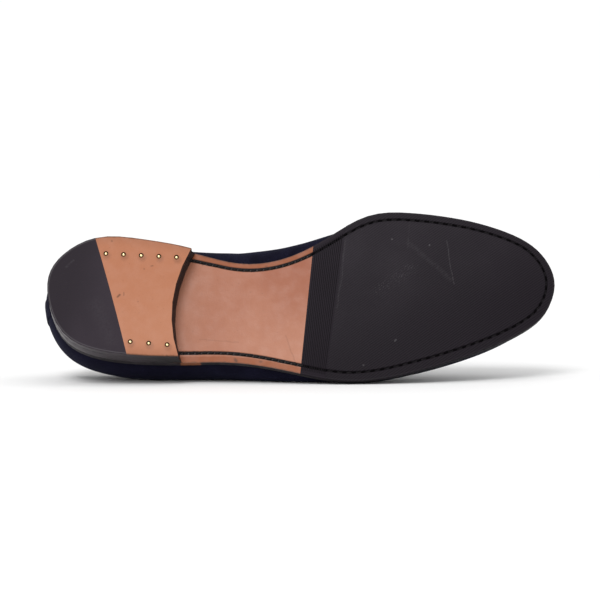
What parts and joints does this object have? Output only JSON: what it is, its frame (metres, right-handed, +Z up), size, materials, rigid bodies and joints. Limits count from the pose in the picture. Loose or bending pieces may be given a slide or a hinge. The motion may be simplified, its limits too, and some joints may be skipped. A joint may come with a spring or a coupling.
{
  "type": "slip-on dress slipper",
  "caption": "Low slip-on dress slipper lying on its outer side: hollow napped upper, welted leather sole with arched waist, rubber forepart and stacked heel.",
  "frame": {"origin": "on the floor, under the centre of the object's box", "axes": "+X from heel to toe, +Y from the sole towards the collar, +Z up, from the outer side that the shoe lies on to its inner side"},
  "size_m": [0.3018, 0.1062, 0.0982],
  "materials": {
    "navy_nap": "matt napped leather, mottled deep navy",
    "sole_leather": "smooth tan sole leather with a soft gloss",
    "edge_black": "black edge dressing, waxed",
    "sole_rubber": "charcoal rubber, finely lined",
    "insole_tan": "plain tan sock leather",
    "brass": "polished nail heads"
  },
  "bodies": {
    "root": {"upper": "navy_nap", "back_strip": "navy_nap", "outsole": "sole_leather", "half_sole": "sole_rubber", "welt": "edge_black", "insole": "insole_tan", "heel_stack": "edge_black", "heel_top_leather": "sole_leather", "heel_top_rubber": "sole_rubber", "heel_nail_1": "brass", "heel_nail_2": "brass", "heel_nail_3": "brass", "heel_nail_4": "brass", "heel_nail_5": "brass", "heel_nail_6": "brass", "heel_nail_7": "brass", "heel_nail_8": "brass"}
  },
  "joints": []
}
